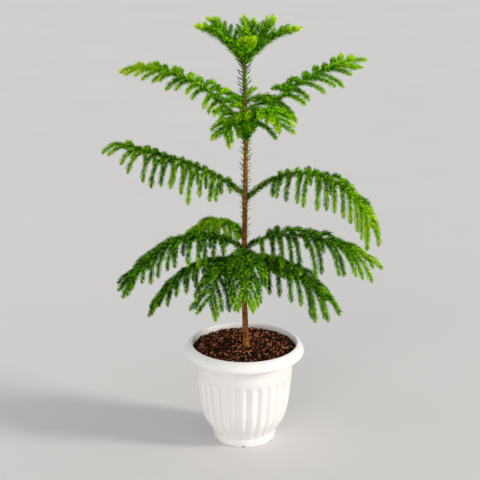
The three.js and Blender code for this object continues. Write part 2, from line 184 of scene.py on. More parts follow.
TIERS = [
    {
        "height": 303, "thick": 2.3, "bare": 0.14, "twig": 59, "sweep": (68, 38), "lift": 22, "hang": 0.9,
        "tip_twig": 0.5, "tip_hang": 0.3, "pitch": 14.5, "needle": 9.2, "fresh": 0.15,
        "boughs": [
            # Painted shade: this bough, on the side away from the key light, is given the oldest and darkest
            # needles.
            {
                "name": "left", "azimuth": 199, "length": 186, "rise": (52, -64), "bend": 0.66, "above": 1,
                "roll": 16, "fresh": 0.0, "tip_fresh": 0.06,
            },
            {
                "name": "front_left", "azimuth": 243, "length": 153, "rise": (46, -78), "bend": 1.2,
                "above": -5, "twig": 66, "hang": 0.84, "tip_fresh": 0.34,
            },
            {
                "name": "right", "azimuth": 346, "length": 158, "rise": (58, -55), "bend": 0.52, "above": -2,
                "twig": 79, "tip_twig": 0.66, "tip_hang": 0.7, "roll": 9,
            },
            {
                "name": "back_right", "azimuth": 59, "length": 160, "rise": (28, -47), "bend": 0.54,
                "above": 2, "masses": 1,
            },
            {
                "name": "back", "azimuth": 107, "length": 168, "rise": (30, -50), "bend": 0.52, "above": -3,
                "masses": 1,
            },
        ],
    },
    {
        "height": 341, "thick": 2.4, "bare": 0.15, "twig": 62, "sweep": (70, 40), "lift": 24, "hang": 0.94,
        "tip_twig": 0.5, "tip_hang": 0.4, "pitch": 14.5, "needle": 9.2, "fresh": 0.2,
        "boughs": [
            # Painted shade: this bough, on the side away from the key light, is given the oldest and darkest
            # needles.
            {
                "name": "left", "azimuth": 197, "length": 233, "rise": (50, -60), "bend": 0.8, "above": -7,
                "roll": 2, "twig": 67, "tip_twig": 0.6, "fresh": 0.03, "tip_fresh": 0.1,
            },
            {
                "name": "back_left", "azimuth": 123, "length": 165, "rise": (74, -42), "bend": 0.38,
                "above": 10, "roll": 20, "bare": 0.2, "fresh": 0.5,
            },
            {
                "name": "right", "azimuth": 353, "length": 207, "rise": (62, -31), "bend": 0.47, "above": -6,
                "twig": 78, "hang": 0.86, "tip_twig": 0.8, "tip_hang": 0.66, "roll": 14, "tip_fresh": 0.42,
            },
            {
                "name": "front", "azimuth": 271, "length": 154, "rise": (21, -60), "bend": 1.1, "above": -7,
                "sweep": (70, 30), "tip_twig": 0.44, "tip_fresh": 0.46,
            },
        ],
    },
    {
        "height": 425, "thick": 2.4, "bare": 0.15, "twig": 67, "sweep": (76, 40), "lift": 22, "hang": 0.93,
        "tip_twig": 0.55, "tip_hang": 0.5, "pitch": 14.5, "needle": 9.2, "fresh": 0.33,
        "boughs": [
            {
                "name": "left", "azimuth": 164, "length": 226, "rise": (52, 5), "bend": 0.38, "above": 2,
                "lift": 13, "roll": 6, "tip_lift": 16, "twig": 72, "sweep": (76, 50), "tip_twig": 0.72,
                "tip_hang": 0.6,
            },
            {
                "name": "right", "azimuth": 345, "length": 269, "rise": (52, -82), "bend": 1.16, "above": -6,
                "roll": 7, "bare": 0.24, "sweep": (88, 68), "tip_twig": 0.85, "tip_hang": 1,
                "tip_fresh": 0.52,
            },
        ],
    },
    {
        "height": 519, "thick": 2.2, "bare": 0.12, "twig": 50, "sweep": (48, 42), "lift": 24, "hang": 0.4,
        "first_twig": 0.9, "tip_twig": 0.6, "tip_hang": 0.4, "pitch": 20, "needle": 9.5, "fresh": 0.4,
        "boughs": [
            {
                "name": "left", "azimuth": 155, "length": 242, "rise": (74, -6), "bend": 0.7, "above": 1,
                "twig": 43, "sweep": (80, 46), "lift": 20, "roll": -4, "tip_lift": 8, "hang": 0.52,
                "tip_twig": 0.9, "tip_hang": 0.9, "pitch": 14, "fresh": 0.46,
            },
            {
                "name": "right", "azimuth": 32, "length": 246, "rise": (61, 4), "bend": 0.68, "above": 2,
                "twig": 63, "sweep": (80, 42), "lift": 10, "roll": -3, "hang": 0.48, "pitch": 17,
                "fresh": 0.32,
            },
            {
                "name": "front_right", "azimuth": 308, "length": 132, "rise": (79, -59), "bend": 1.6,
                "above": -6, "bare": 0.24, "twig": 46, "hang": 0.55, "masses": 1, "pitch": 15, "fresh": 0.42,
            },
            {
                "name": "front_left", "azimuth": 238, "length": 96, "rise": (80, -79), "bend": 1.45,
                "above": -2, "bare": 0.24, "twig": 42, "hang": 0.65, "masses": 1, "pitch": 15, "fresh": 0.28,
            },
            {
                "name": "back", "azimuth": 97, "length": 104, "rise": (72, 0), "bend": 0.7, "above": 6,
                "bare": 0.24, "twig": 60, "sweep": (70, 44), "masses": 1, "fresh": 0.28,
            },
        ],
    },
    {
        "height": 645, "thick": 1.6, "bare": 0.14, "twig": 21, "sweep": (56, 30), "lift": 21, "hang": -0.22,
        "tip_twig": 0.55, "tip_hang": 0.4, "pitch": 11, "needle": 9.5, "fresh": 0.14, "tip_fresh": 0.82,
        "masses": 1,
        "boughs": [
            {"name": "left", "azimuth": 184, "length": 97, "rise": (52, 7), "bend": 2.4},
            {"name": "back_left", "azimuth": 137, "length": 95, "rise": (48, 17), "bend": 1.65, "above": 6},
            {
                "name": "back", "azimuth": 81, "length": 77, "rise": (48, 60), "bend": 1, "twig": 26,
                "sweep": (66, 36),
            },
            {"name": "back_right", "azimuth": 45, "length": 90, "rise": (49, 27), "bend": 1.4, "above": 6},
            {"name": "right", "azimuth": 355, "length": 106, "rise": (48, -1), "bend": 2.2},
            {
                "name": "front", "azimuth": 281, "length": 60, "rise": (56, 34), "bend": 0.65, "above": 6,
                "fresh": 0.4, "tip_fresh": 0.7,
            },
        ],
    },
]

# Leader: the soft new growth that the trunk ends in.
LEADER_LENGTH = 25
LEADER_TWIGS = 5
LEADER_TWIG = 9
LEADER_SWEEP = 40
LEADER_SWEEP_JITTER = 8
LEADER_TURN_JITTER = 0.2
LEADER_ROOTS = (0.1, 0.5)
LEADER_FRESH = 0.46

# Needles: how far apart they stand along a shoot and in which turn, how they splay from it in degrees, and
# their size. A needle has three corners at its foot, three at its bend and one at its tip.
TWIG_NEEDLE_STEP = 0.3
STEM_NEEDLE_STEP = 0.24
BARE_NEEDLE_STEP = 0.3
FEWEST_NEEDLES = 3
STEP_SPAN = (0.2, 0.8)
SHOOT_TURN = 1.7
TURN_JITTER = 0.35
NEEDLE_SPLAY = (58, 26)
STEM_SPLAY = (70, 52)
SPIKE_SPLAY = (60, 32)
SPLAY_JITTER = 12
SPIKE_SPLAY_JITTER = 14
NEEDLE_SIZES = (0.66, 1.2)
SPIKE_SIZES = (0.6, 1.15)
WIDTH_SIZES = (0.85, 1.15)
NEEDLE_BEND = 0.55
BEND_THICKNESS = 0.8
BLUNT_END = 9
FOOT_SHARE = 0.15
FOOT_NEEDLE = 0.8
BARE_NEEDLE = 0.9
TIP_NEEDLE = 0.5
TIP_CLOSING = 0.72
NEEDLE_WIDTH = 1.4
SPIKE_WIDTH = 2.1
NEEDLE_POINTS = 7
NEEDLE_SIDES = np.array([[0, 1, 4, 3], [1, 2, 5, 4], [2, 0, 3, 5]])
NEEDLE_ENDS = np.array([[3, 4, 6], [4, 5, 6], [5, 3, 6], [2, 1, 0]])
MOST_NEEDLES = 19000
LEAFY_UNTIL = 0.95
TRUNK_SPIKES = [
    {"heights": (350, 530), "step": 1.3, "needle": (9, 13)},
    {"heights": (530, 684), "step": 0.85, "needle": (13, 17)},
]
TRUNK_SPIKE_ROOT = 0.9
TRUNK_SPIKE_FRESH = 0.1

# Freshness at which needles go on to the next shade, and each shade's darkest, middle and lightest green.
# Low values also stand for painted shade, on the lowest left boughs and on the bough stems.
OLD_SHADES = {"deep": 0.0, "mid": 0.33, "fresh": 0.6}
YOUNG_SHADES = {"leaf": 0.0, "light": 0.55, "tip": 0.82}
FRESH_ALONG_TWIG = 0.36
FRESH_TWIG_JITTER = 0.14
FRESH_NEEDLE_JITTER = 0.09
NEEDLE_COLOURS = {
    "deep": ((0.001, 0.02, 0.0008), (0.016, 0.112, 0.003), (0.28, 0.78, 0.014)),
    "mid": ((0.006, 0.09, 0.0005), (0.062, 0.27, 0.002), (0.52, 1.0, 0.012)),
    "fresh": ((0.07, 0.32, 0.001), (0.24, 0.6, 0.004), (0.8, 1.0, 0.02)),
    "leaf": ((0.004, 0.075, 0.0005), (0.06, 0.3, 0.002), (0.46, 1.0, 0.01)),
    "light": ((0.05, 0.32, 0.001), (0.24, 0.64, 0.003), (0.76, 1.0, 0.014)),
    "tip": ((0.28, 0.6, 0.003), (0.54, 0.84, 0.006), (0.92, 1.0, 0.025)),
}

# Colours of plastic, wood, soil and floor, each from its darkest patches to its lightest.
PLASTIC_COLOURS = ((0.82, 0.8, 0.78), (0.86, 0.845, 0.83))
TRUNK_BROWN = ((0.032, 0.01, 0.002), (0.17, 0.056, 0.01), (0.64, 0.24, 0.06))
TRUNK_GREEN = ((0.04, 0.05, 0.008), (0.12, 0.13, 0.02), (0.28, 0.26, 0.05))
TRUNK_GREENING = (520, 640)
BOUGH_COLOURS = {
    "bark": ((0.05, 0.028, 0.014), (0.12, 0.065, 0.03), (0.22, 0.12, 0.06)),
    "green_bark": ((0.05, 0.055, 0.016), (0.1, 0.105, 0.032), (0.18, 0.17, 0.06)),
}
TWIG_COLOURS = ((0.05, 0.09, 0.02), (0.09, 0.14, 0.03), (0.13, 0.18, 0.04))
YOUNG_TWIG_COLOURS = ((0.1, 0.17, 0.03), (0.16, 0.24, 0.04), (0.22, 0.3, 0.06))
BARK_STOPS = (0.32, 0.5, 0.68)
ISLAND_STOPS = (0.0, 0.55, 1.0)
CLOUD_STOPS = (0.3, 0.7)
# The soil bed is near black: soil colour with painted shade for the gaps between the crumbs.
SOIL_AND_GAP_SHADE_COLOURS = ((0.008, 0.003, 0.001), (0.01, 0.0035, 0.0015), (0.012, 0.004, 0.002))
CRUMB_COLOURS = ((0.004, 0.0015, 0.0007), (0.026, 0.0085, 0.003), (0.5, 0.165, 0.07))
FLOOR_COLOURS = ((0.64, 0.63, 0.615), (0.66, 0.65, 0.635))

# Finishes: the noise of the grain, the roughness from the smoothest patches to the roughest, the depth of
# the relief in millimetres with its strength, and the gloss. A noise is given as its features for each metre
# and the number of its finer layers.
BARK_FLAKES = (420, 7)
PLASTIC_CLOUDS = (22, 5)
FLOOR_CLOUDS = (3, 3)
FLOOR_ROUGHNESS = 0.9
NEEDLE_FINISH = {"grain": (900, 2), "roughness": (0.47, 0.63), "gloss": 0.03}
BARK_FINISH = {"grain": (1600, 4), "roughness": (0.65, 0.9), "relief": (0.25, 0.7), "gloss": 0.15}
SOIL_FINISH = {"grain": (1400, 5), "roughness": (0.75, 1.0), "relief": (0.5, 0.9), "gloss": 0.1}
PLASTIC_FINISH = {"grain": (700, 3), "roughness": (0.36, 0.5), "relief": (0.05, 0.25)}

# Lights: the side they come from, the angle in degrees that they seem to fill, their strength and colour.
KEY_LIGHT = {"side": (1.0, -0.24, 0.44), "softness": 12, "strength": 2.2, "colour": (1.0, 0.95, 0.88)}
FILL_LIGHT = {"side": (-0.3, -1.0, 0.24), "softness": 40, "strength": 1.1, "colour": (1.0, 0.97, 0.93)}
SKY_COLOUR = (0.95, 0.96, 1.0)
SKY_STRENGTH = 0.64
FLOOR_HALF = 20000


# Numbers and directions

def random_stream(part):
    """Random numbers of a part's own, so that a change to one part leaves the others as they are."""
    return np.random.default_rng([SEED, STREAMS[part]])


def smoothstep(value, low, high):
    share = np.clip((value - low) / (high - low), 0, 1)
    return share * share * (3 - 2 * share)


def lerp(start, end, share):
    return start + (end - start) * share


def unit(vectors):
    return vectors / np.linalg.norm(vectors, axis=-1, keepdims=True)


def line_frames(lines):
    """Tangents of a stack of lines, and two directions across them that turn as little as they can."""
    tangents = unit(np.gradient(lines, axis=1))
    across = np.empty_like(tangents)
    is_steep = np.abs(tangents[:, 0, 2:]) > STEEP_RISE
    helper = np.where(is_steep, (1.0, 0.0, 0.0), (0.0, 0.0, 1.0))
    across[:, 0] = unit(np.cross(helper, tangents[:, 0]))
    for ring in range(1, lines.shape[1]):
        before = across[:, ring - 1]
        lean = np.sum(before * tangents[:, ring], axis=-1, keepdims=True)
        across[:, ring] = unit(before - lean * tangents[:, ring])
    return tangents, across, np.cross(tangents, across)


def catmull(points, spans):
    """A smooth line through points, with the same number of steps between each two."""
    points = np.asarray(points, float)
    padded = np.vstack([2 * points[0] - points[1], points, 2 * points[-1] - points[-2]])
    before, start, end, after = (padded[i:len(padded) - 3 + i, None] for i in range(4))
    share = (np.arange(spans) / spans)[None, :, None]
    curve = 0.5 * (
        2 * start + (end - before) * share
        + (2 * before - 5 * start + 4 * end - after) * share ** 2
        + (3 * start - before - 3 * end + after) * share ** 3
    )
    return np.vstack([curve.reshape(-1, points.shape[1]), points[-1:]])


# Meshes

def make_piece(name, points, faces, look, nodes=(), smooth=True):
    """A mesh object from points in millimetres and stacks of faces, riding on the plant's one body."""
    sizes = np.concatenate([np.full(len(stack), stack.shape[1]) for stack in faces])
    corners = np.concatenate([stack.ravel() for stack in faces])
    mesh = bpy.data.meshes.new(name)
    mesh.vertices.add(len(points))
    mesh.vertices.foreach_set("co", (points * MM).astype(np.float32).ravel())
    mesh.loops.add(len(corners))
    mesh.loops.foreach_set("vertex_index", corners.astype(np.int32))
    mesh.polygons.add(len(sizes))
    mesh.polygons.foreach_set("loop_start", (np.cumsum(sizes) - sizes).astype(np.int32))
    mesh.polygons.foreach_set("use_smooth", np.full(len(sizes), smooth))
    mesh.update(calc_edges=True)
    mesh.materials.append(look)
    piece = bpy.data.objects.new(name, mesh)
    bpy.context.scene.collection.objects.link(piece)
    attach(piece, "root")
    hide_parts(*nodes)
    return piece


def join(parts):
    """Several pairs of points and face stacks as one pair."""
    points = []
    faces = []
    count = 0
    for part_points, part_faces in parts:
        points.append(part_points)
        faces.extend(stack + count for stack in part_faces)
        count += len(part_points)
    return np.vstack(points), faces


def tubes(lines, radii):
    """Tubes with closed ends along a stack of lines. radii has a value for each line, ring and side."""
    count, rings, sides = radii.shape
    turn = FULL_TURN * np.arange(sides)[:, None] / sides
    _, across, beside = line_frames(lines)
    outward = np.cos(turn) * across[:, :, None] + np.sin(turn) * beside[:, :, None]
    points = lines[:, :, None] + radii[..., None] * outward
    grid = np.arange(count * rings * sides).reshape(count, rings, sides)
    beyond = np.roll(grid, -1, axis=2)
    quads = np.stack([grid[:, :-1], beyond[:, :-1], beyond[:, 1:], grid[:, 1:]], axis=-1)
    return points.reshape(-1, 3), [quads.reshape(-1, 4), grid[:, 0, ::-1], grid[:, -1]]


def lathe(outline, columns, shape):
    """A closed turned body whose outline starts and ends on the axis. shape(points) moves its points."""
    outline = np.asarray(outline, float)
    turn = FULL_TURN * np.arange(columns) / columns
    rings = outline[1:-1]
    points = np.stack([
        rings[:, :1] * np.cos(turn),
        rings[:, :1] * np.sin(turn),
        np.repeat(rings[:, 1:], columns, axis=1),
    ], axis=-1)
    points = shape(points)
    grid = np.arange(points.shape[0] * columns).reshape(-1, columns)
    beyond = np.roll(grid, -1, axis=1)
    quads = np.stack([grid[:-1], beyond[:-1], beyond[1:], grid[1:]], axis=-1).reshape(-1, 4)
    first = grid.size
    ends = np.array([[0, 0, outline[0, 1]], [0, 0, outline[-1, 1]]])
    start_fan = np.stack([beyond[0], grid[0], np.full(columns, first)], axis=-1)
    end_fan = np.stack([grid[-1], beyond[-1], np.full(columns, first + 1)], axis=-1)
    return np.vstack([points.reshape(-1, 3), ends]), [quads, start_fan, end_fan]


# Materials

def new_material(name):
    material = bpy.data.materials.new(name)
    material.use_nodes = True
    return material, material.node_tree.nodes, material.node_tree.links


def noise(nodes, links, scale, detail):
    """Noise over the object's own space, with scale in features for each metre."""
    place = nodes.new("ShaderNodeTexCoord")
    texture = nodes.new("ShaderNodeTexNoise")
    texture.inputs["Scale"].default_value = scale
    texture.inputs["Detail"].default_value = detail
    links.new(place.outputs["Object"], texture.inputs["Vector"])
    return texture.outputs["Fac"]


def ramp(nodes, links, value, stops):
    """A run of colours over a value. stops holds pairs of a position and a colour."""
    stops = list(stops)
    node = nodes.new("ShaderNodeValToRGB")
    elements = node.color_ramp.elements
    while len(elements) < len(stops):
        elements.new(0.5)
    for element, (position, colour) in zip(elements, stops):
        element.position = position
        element.color = (*colour, 1)
    links.new(value, node.inputs["Fac"])
    return node.outputs["Color"]


def add_bump(nodes, links, value, distance, strength):
    bump = nodes.new("ShaderNodeBump")
    bump.inputs["Distance"].default_value = distance * MM
    bump.inputs["Strength"].default_value = strength
    links.new(value, bump.inputs["Height"])
    links.new(bump.outputs["Normal"], nodes["Principled BSDF"].inputs["Normal"])


def spread(nodes, links, value, low, high):
    """A value from 0 to 1 stretched to run from low to high."""
    node = nodes.new("ShaderNodeMapRange")
    node.inputs["To Min"].default_value = low
    node.inputs["To Max"].default_value = high
    links.new(value, node.inputs["Value"])
    return node.outputs["Result"]


def set_finish(nodes, links, finish, patches=None):
    """Roughness, relief and gloss of a material. Roughness follows patches, or the grain without them."""
    shader = nodes["Principled BSDF"]
    grain = noise(nodes, links, *finish["grain"])
    rough = spread(nodes, links, grain if patches is None else patches, *finish["roughness"])
    links.new(rough, shader.inputs["Roughness"])
    if "relief" in finish:
        add_bump(nodes, links, grain, *finish["relief"])
    if "gloss" in finish:
        shader.inputs["Specular IOR Level"].default_value = finish["gloss"]


def speckled_look(name, colours, finish):
    """A material whose colour differs from needle to needle or from crumb to crumb."""
    material, nodes, links = new_material(name)
    geometry = nodes.new("ShaderNodeNewGeometry")
    colour = ramp(nodes, links, geometry.outputs["Random Per Island"], zip(ISLAND_STOPS, colours))
    links.new(colour, nodes["Principled BSDF"].inputs["Base Color"])
    set_finish(nodes, links, finish)
    return material


def plastic_look():
    material, nodes, links = new_material("white_plastic")
    clouds = noise(nodes, links, *PLASTIC_CLOUDS)
    colour = ramp(nodes, links, clouds, zip(CLOUD_STOPS, PLASTIC_COLOURS))
    links.new(colour, nodes["Principled BSDF"].inputs["Base Color"])
    set_finish(nodes, links, PLASTIC_FINISH)
    return material


def bark_look(name, colours):
    material, nodes, links = new_material(name)
    flakes = noise(nodes, links, *BARK_FLAKES)
    colour = ramp(nodes, links, flakes, zip(BARK_STOPS, colours))
    links.new(colour, nodes["Principled BSDF"].inputs["Base Color"])
    set_finish(nodes, links, BARK_FINISH, flakes)
    return material


def trunk_look():
    """Brown bark that turns green towards the top of the trunk."""
    material, nodes, links = new_material("trunk_bark")
    flakes = noise(nodes, links, *BARK_FLAKES)
    place = nodes.new("ShaderNodeTexCoord")
    split = nodes.new("ShaderNodeSeparateXYZ")
    links.new(place.outputs["Object"], split.inputs["Vector"])
    rise = nodes.new("ShaderNodeMapRange")
    rise.inputs["From Min"].default_value = TRUNK_GREENING[0] * MM
    rise.inputs["From Max"].default_value = TRUNK_GREENING[1] * MM
    links.new(split.outputs["Z"], rise.inputs["Value"])
    mix = nodes.new("ShaderNodeMix")
    mix.data_type = "RGBA"
    links.new(rise.outputs["Result"], mix.inputs["Factor"])
    links.new(ramp(nodes, links, flakes, zip(BARK_STOPS, TRUNK_BROWN)), mix.inputs["A"])
    links.new(ramp(nodes, links, flakes, zip(BARK_STOPS, TRUNK_GREEN)), mix.inputs["B"])
    links.new(mix.outputs["Result"], nodes["Principled BSDF"].inputs["Base Color"])
    set_finish(nodes, links, BARK_FINISH, flakes)
    return material


def floor_look():
    material, nodes, links = new_material("pale_floor")
    shader = nodes["Principled BSDF"]
    clouds = noise(nodes, links, *FLOOR_CLOUDS)
    colour = ramp(nodes, links, clouds, zip(CLOUD_STOPS, FLOOR_COLOURS))
    links.new(colour, shader.inputs["Base Color"])
    shader.inputs["Roughness"].default_value = FLOOR_ROUGHNESS
    return material


# Trunk

def trunk_middle(heights):
    x = np.interp(heights, TRUNK_HEIGHTS, TRUNK_X)
    y = np.interp(heights, TRUNK_HEIGHTS, TRUNK_Y)
    return np.stack([x, y, np.asarray(heights, float)], axis=-1)


def trunk_radius(heights):
    flare = ROOT_FLARE * np.exp(-np.clip(heights - TRUNK_HEIGHTS[0], 0, None) / ROOT_FLARE_HEIGHT)
    radius = np.interp(heights, TRUNK_HEIGHTS, TRUNK_RADII) + flare
    for tier in TIERS:
        distance = (heights - tier["height"]) / WHORL_SWELL_HEIGHT
        radius = radius + WHORL_SWELL * tier["thick"] / TIERS[0]["thick"] * np.exp(-distance ** 2)
    return radius


def bark_relief(rng, lengths, turns):
    """Unevenness of bark: many waves round and along it."""
    relief = np.zeros((len(lengths), len(turns)))
    for _ in range(BARK_WAVES):
        around = rng.integers(0, BARK_WAVE_TURNS)
        wave = FULL_TURN / rng.uniform(*BARK_WAVE_LENGTHS)
        relief += np.sin(around * turns + wave * lengths[:, None] + rng.uniform(0, FULL_TURN))
    return relief * np.sqrt(2 / BARK_WAVES)


def leaf_scars(heights, turns, radius):
    """Small swellings in a spiral, one where each needle of the trunk stands or stood."""
    scars = np.zeros((len(heights), len(turns)))
    for order, height in enumerate(np.arange(heights[0], heights[-1], SCAR_SPACING)):
        turn = order * GOLDEN_ANGLE
        around = np.angle(np.exp(1j * (turns - turn))) * radius[:, None]
        distance = ((heights - height)[:, None] ** 2 + around ** 2) / SCAR_RADIUS ** 2
        scars += SCAR_HEIGHT * np.exp(-distance)
    return scars


def make_trunk(rng):
    heights = np.arange(TRUNK_HEIGHTS[0] - TRUNK_SUNK, TRUNK_HEIGHTS[-1], TRUNK_STEP)
    turns = FULL_TURN * np.arange(TRUNK_SIDES) / TRUNK_SIDES
    radius = trunk_radius(heights)
    thick = radius / TRUNK_RADII[0]
    radii = radius[:, None] + BARK_DEPTH * thick[:, None] * bark_relief(rng, heights, turns)
    radii += leaf_scars(heights, turns, radius)
    points, faces = tubes(trunk_middle(heights)[None], radii[None])
    make_piece("trunk_bark", points, faces, trunk_look(), ["trunk"])


# Boughs and twigs

def list_limbs():
    """Every bough with the values it takes from its tier, in the order of the tiers."""
    limbs = []
    for number, tier in enumerate(TIERS, start=1):
        shared = {key: value for key, value in tier.items() if key != "boughs"}
        for bough in tier["boughs"]:
            limb = {**USUAL_BOUGH, **shared, **bough}
            limb["label"] = f"{number}_{limb['name']}"
            limb["is_young"] = number >= YOUNG_TIER
            limbs.append(limb)
    return limbs


def bough_line(limb):
    azimuth = np.radians(limb["azimuth"])
    along = (np.arange(BOUGH_POINTS) + 0.5) / BOUGH_POINTS
    rise = np.radians(lerp(limb["rise"][0], limb["rise"][1], along ** limb["bend"]))
    ahead = np.stack([np.cos(rise) * np.cos(azimuth), np.cos(rise) * np.sin(azimuth), np.sin(rise)], axis=-1)
    steps = ahead * limb["length"] / BOUGH_POINTS
    foot = trunk_middle([limb["height"] + limb["above"]])
    return np.vstack([foot, foot + np.cumsum(steps, axis=0)])


def along_line(values, shares):
    """Values at shares of a line's length, between the line's own values."""
    places = np.clip(shares, 0, 1) * (len(values) - 1)
    low = np.minimum(places.astype(int), len(values) - 2)
    return lerp(values[low], values[low + 1], (places - low)[:, None])


def twig_lines(limb, line, rng):
    """Twigs in two rows along a bough: their lines, lengths and places along the bough."""
    rows = round(limb["length"] * (1 - limb["bare"]) / limb["pitch"])
    side = np.tile([1.0, -1.0], rows)
    row = np.repeat(np.arange(rows), 2)
    offset = 0.5 + ROW_STAGGER * side + ROW_JITTER * rng.uniform(-0.5, 0.5, 2 * rows)
    along = lerp(limb["bare"], LAST_TWIG, (row + offset) / rows)
    azimuth = np.radians(limb["azimuth"])
    tangent = unit(along_line(np.gradient(line, axis=0), along))
    level = side[:, None] * np.array([-np.sin(azimuth), np.cos(azimuth), 0])
    up = np.cross(tangent, level) * side[:, None]
    sweep = lerp(limb["sweep"][0], limb["sweep"][1], smoothstep(along, SWEEP_FROM, 1))
    sweep = np.radians(sweep + SWEEP_JITTER * rng.uniform(-1, 1, len(along)))[:, None]
    near_tip = smoothstep(along, TIP_FROM, 1)
    lift = limb["lift"] + limb["roll"] * side + limb["tip_lift"] * near_tip
    lift = np.radians(lift + LIFT_JITTER * rng.uniform(-1, 1, len(along)))[:, None]
    hang = limb["hang"] * lerp(1, limb["tip_hang"], near_tip) + HANG_JITTER * rng.uniform(-1, 1, len(along))
    first = np.cos(sweep) * tangent + np.sin(sweep) * (np.cos(lift) * level + np.sin(lift) * up)
    fall = np.zeros((len(along), 3))
    fall[:, 2] = -np.sign(limb["hang"])
    grown = lerp(limb["first_twig"], 1, smoothstep(along, limb["bare"], limb["bare"] + FULL_TWIG_AFTER))
    lengths = limb["twig"] * grown * lerp(1, limb["tip_twig"], near_tip)
    lengths *= 1 + LENGTH_JITTER * rng.uniform(*LENGTH_JITTER_SPAN, len(along))
    points = [along_line(line, along)]
    for step in range(TWIG_POINTS):
        pull = (np.abs(hang) * ((step + 0.5) / TWIG_POINTS) ** HANG_POWER)[:, None]
        ahead = unit((1 - pull) * first + pull * fall)
        points.append(points[-1] + ahead * lengths[:, None] / TWIG_POINTS)
    return np.stack(points, axis=1), lengths, along


def leader_lines(rng):
    """The twigs of the leader, in a spiral round its stem."""
    order = np.arange(LEADER_TWIGS)
    turn = order * GOLDEN_ANGLE + rng.uniform(-LEADER_TURN_JITTER, LEADER_TURN_JITTER, LEADER_TWIGS)
    sweep = LEADER_SWEEP + rng.uniform(-LEADER_SWEEP_JITTER, LEADER_SWEEP_JITTER, LEADER_TWIGS)
    sweep = np.radians(sweep)
    out = np.stack([np.sin(sweep) * np.cos(turn), np.sin(sweep) * np.sin(turn), np.cos(sweep)], axis=-1)
    foot = trunk_middle([TRUNK_HEIGHTS[-1]])
    roots = foot + np.outer(LEADER_LENGTH * lerp(*LEADER_ROOTS, order / LEADER_TWIGS), (0, 0, 1))
    shares = np.linspace(0, 1, TWIG_POINTS + 1)[None, :, None]
    lines = roots[:, None] + LEADER_TWIG * shares * out[:, None]
    return lines, np.full(LEADER_TWIGS, float(LEADER_TWIG))


def leader_stem():
    foot = trunk_middle([TRUNK_HEIGHTS[-1]])
    shares = np.linspace(0, 1, TWIG_POINTS + 1)[:, None]
    return foot + LEADER_LENGTH * shares * np.array([0, 0, 1])


def make_boughs(limbs, lines, rng):
    """The woody boughs with their bark: brown below and green brown on the young tiers."""
    wood = {kind: [] for kind in BOUGH_COLOURS}
    nodes = {kind: [] for kind in BOUGH_COLOURS}
    turns = FULL_TURN * np.arange(BOUGH_SIDES) / BOUGH_SIDES
    for limb, line in zip(limbs, lines):
        kind = "green_bark" if limb["is_young"] else "bark"
        along = np.linspace(0, 1, BOUGH_POINTS + 1)
        lengths = along * limb["length"]
        radius = np.interp(along, [0, limb["bare"], 1], [limb["thick"], STEM_RADIUS, BOUGH_END_RADIUS])
        radius = radius * (1 + COLLAR_SWELL * np.exp(-(lengths - TRUNK_RADII[0]) / COLLAR_LENGTH).clip(0, 1))
        radii = radius[:, None] * (1 + BOUGH_RELIEF * bark_relief(rng, lengths, turns))
        wood[kind].append(tubes(line[None], radii[None]))
        nodes[kind].append("bough_" + limb["label"])
    for kind, parts in wood.items():
        points, faces = join(parts)
        look = bark_look("bough_" + kind, BOUGH_COLOURS[kind])
        make_piece("boughs_" + kind, points, faces, look, nodes[kind])


def make_twigs(name, lines, look):
    radius = lerp(TWIG_RADIUS, TWIG_END_RADIUS, np.linspace(0, 1, TWIG_POINTS + 1))
    radii = np.broadcast_to(radius[None, :, None], (len(lines), TWIG_POINTS + 1, TWIG_SIDES))
    points, faces = tubes(lines, radii)
    make_piece(name, points, faces, look)


# Needles

def needle_places(lines, lengths, step, rng):
    """Where needles stand on shoots: the shoot, the share of its length, the root, the ways on and out."""
    counts = np.maximum(FEWEST_NEEDLES, np.round(lengths / step)).astype(int)
    shoot = np.repeat(np.arange(len(lines)), counts)
    order = np.arange(counts.sum()) - np.repeat(np.cumsum(counts) - counts, counts)
    share = (order + rng.uniform(*STEP_SPAN, len(order))) / counts[shoot]
    places = share * (lines.shape[1] - 1)
    low = np.minimum(places.astype(int), lines.shape[1] - 2)
    between = (places - low)[:, None]
    forward, across, beside = (
        lerp(values[shoot, low], values[shoot, low + 1], between) for values in line_frames(lines)
    )
    roots = lerp(lines[shoot, low], lines[shoot, low + 1], between)
    jitter = rng.uniform(-TURN_JITTER, TURN_JITTER, len(order))
    turn = (order * GOLDEN_ANGLE + SHOOT_TURN * shoot + jitter)[:, None]
    outward = unit(np.cos(turn) * across + np.sin(turn) * beside)
    return shoot, share, roots, unit(forward), outward


def needle_points(roots, forward, outward, lengths, splay, width):
    """Corners of three-sided needles that leave a shoot at splay[0] and curve in to splay[1]."""
    aside = np.cross(forward, outward)
    middle = roots
    rings = []
    stages = ((0, splay[0], 1), (NEEDLE_BEND, splay[0], BEND_THICKNESS), (1 - NEEDLE_BEND, splay[1], 0))
    for share, angle, thick in stages:
        ahead = np.cos(angle)[:, None] * forward + np.sin(angle)[:, None] * outward
        middle = middle + ahead * (share * lengths)[:, None]
        if thick == 0:
            rings.append(middle[:, None])
            continue
        above = np.cross(ahead, aside)
        half = (0.5 * thick * width)[:, None]
        rings.append(np.stack([middle + half * aside, middle + half * above, middle - half * aside], axis=1))
    return np.concatenate(rings, axis=1)


